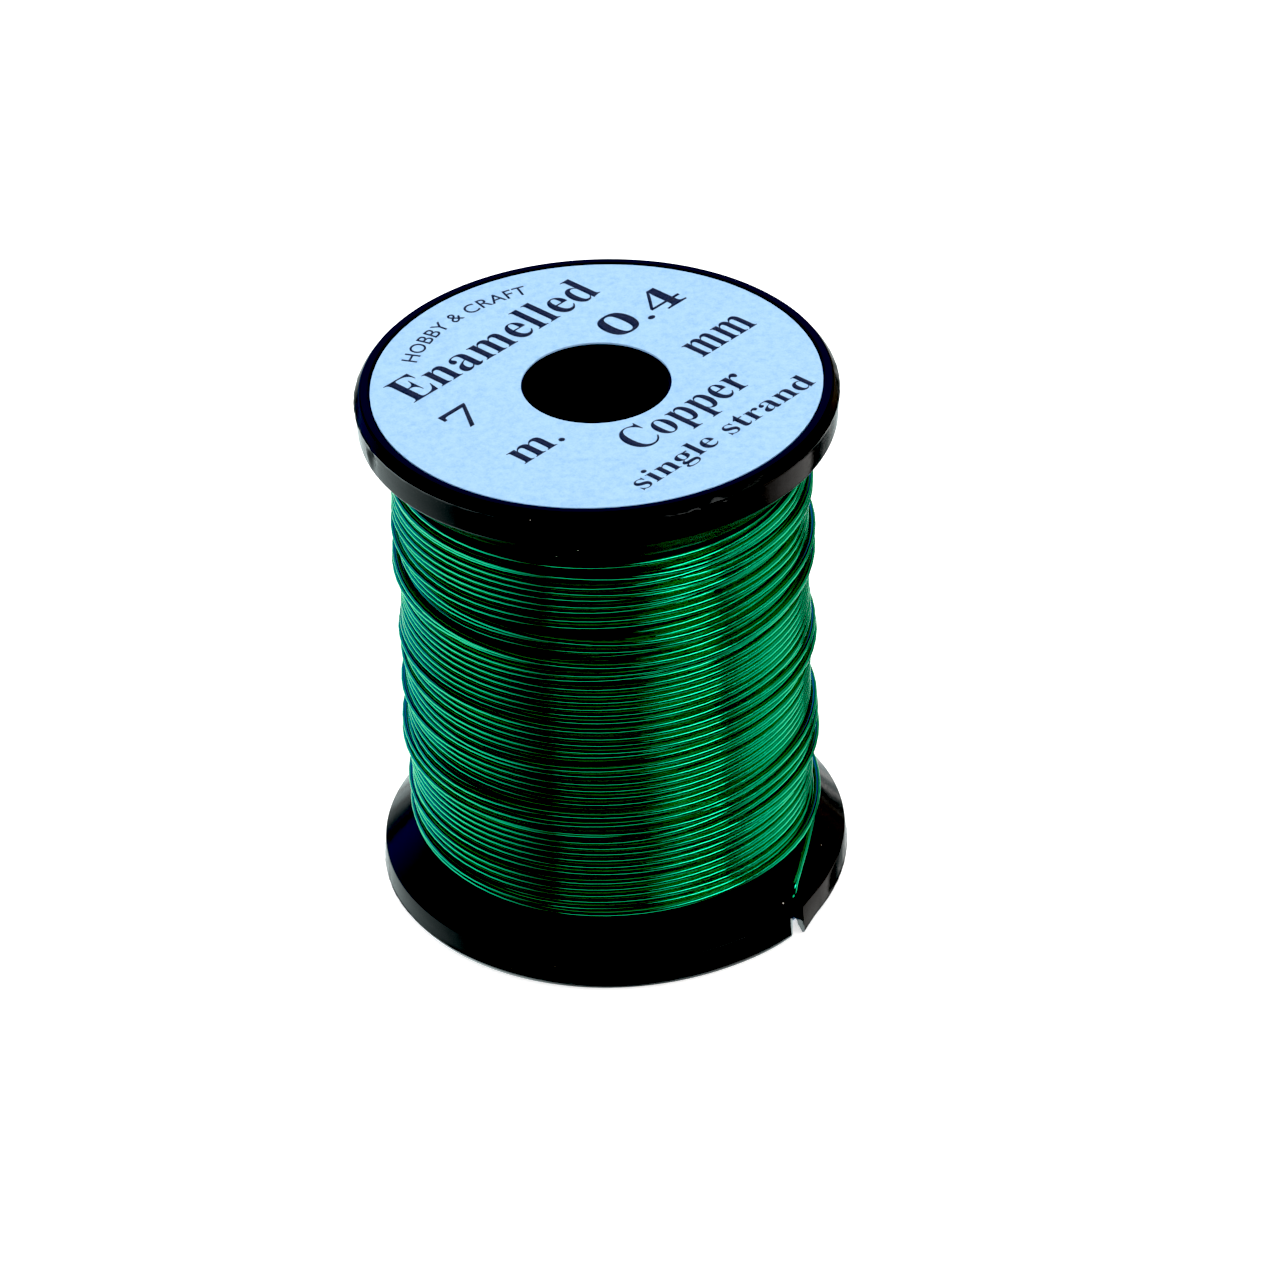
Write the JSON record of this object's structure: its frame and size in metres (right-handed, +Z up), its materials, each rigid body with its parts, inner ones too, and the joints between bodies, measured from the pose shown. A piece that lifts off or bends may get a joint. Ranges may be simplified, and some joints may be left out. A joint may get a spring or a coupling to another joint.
{
  "type": "wire spool",
  "caption": "Small black plastic spool of green enamelled craft wire, with a round label on each end and the wire's end tucked in a slit in the lower flange.",
  "frame": {"origin": "middle of the underside, on the plane that the lower flange rests on", "axes": "+Z up the bore from the lower flange to the upper flange; the slit in the lower flange is at about -41 degrees from +X, seen from above"},
  "size_m": [0.025, 0.025, 0.0299],
  "materials": {
    "spool_plastic": "gloss",
    "label_paper": "matte",
    "enamelled_wire": "gloss"
  },
  "bodies": {
    "root": {"lower_half": "spool_plastic", "upper_half": "spool_plastic", "top_label": "label_paper", "bottom_label": "label_paper", "wire_winding": "enamelled_wire", "wire_start": "enamelled_wire", "wire_tail": "enamelled_wire"}
  },
  "joints": []
}
